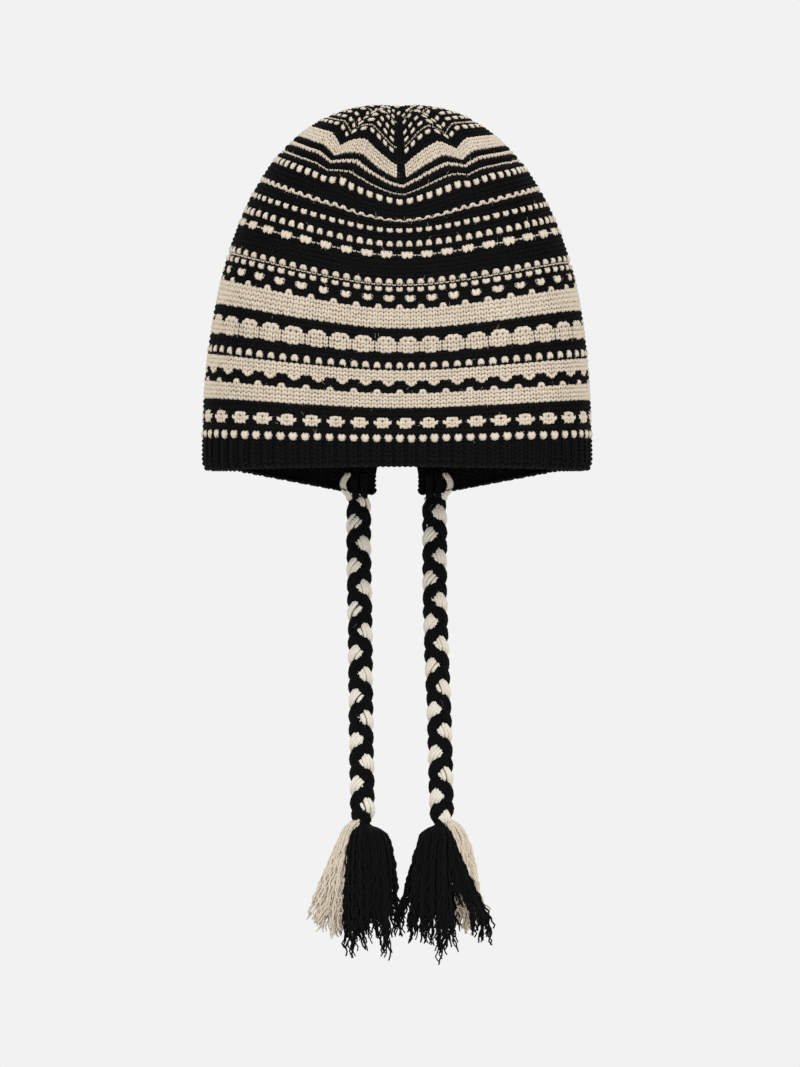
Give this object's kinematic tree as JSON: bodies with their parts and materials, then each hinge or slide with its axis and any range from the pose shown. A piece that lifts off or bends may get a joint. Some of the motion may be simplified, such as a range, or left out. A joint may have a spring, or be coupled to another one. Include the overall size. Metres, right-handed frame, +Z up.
{
  "type": "knit beanie with braided ties",
  "caption": "Close-fitting striped knit hat with a ribbed rim and short back flaps, each carrying a braided tie that ends in a tassel.",
  "frame": {"origin": "the inside top of the crown, where a head meets it", "axes": "+Z up along the worn hat, -Y the front of the hat, +X the viewer's right as seen from the front"},
  "size_m": [0.185, 0.1314, 0.406],
  "materials": {
    "patterned_knit": "two-colour wool knit, matte and slightly fuzzy",
    "black_wool": "black wool, matte",
    "cream_wool": "cream wool, matte",
    "braid_wool": "black and cream wool yarns, braided"
  },
  "bodies": {
    "root": {"crown": "patterned_knit", "ribbed_band": "black_wool", "tie_loop_left": "black_wool", "tie_left": "braid_wool", "tassel_black_left": "black_wool", "tassel_cream_left": "cream_wool", "tie_loop_right": "black_wool", "tie_right": "braid_wool", "tassel_black_right": "black_wool", "tassel_cream_right": "cream_wool"}
  },
  "joints": []
}
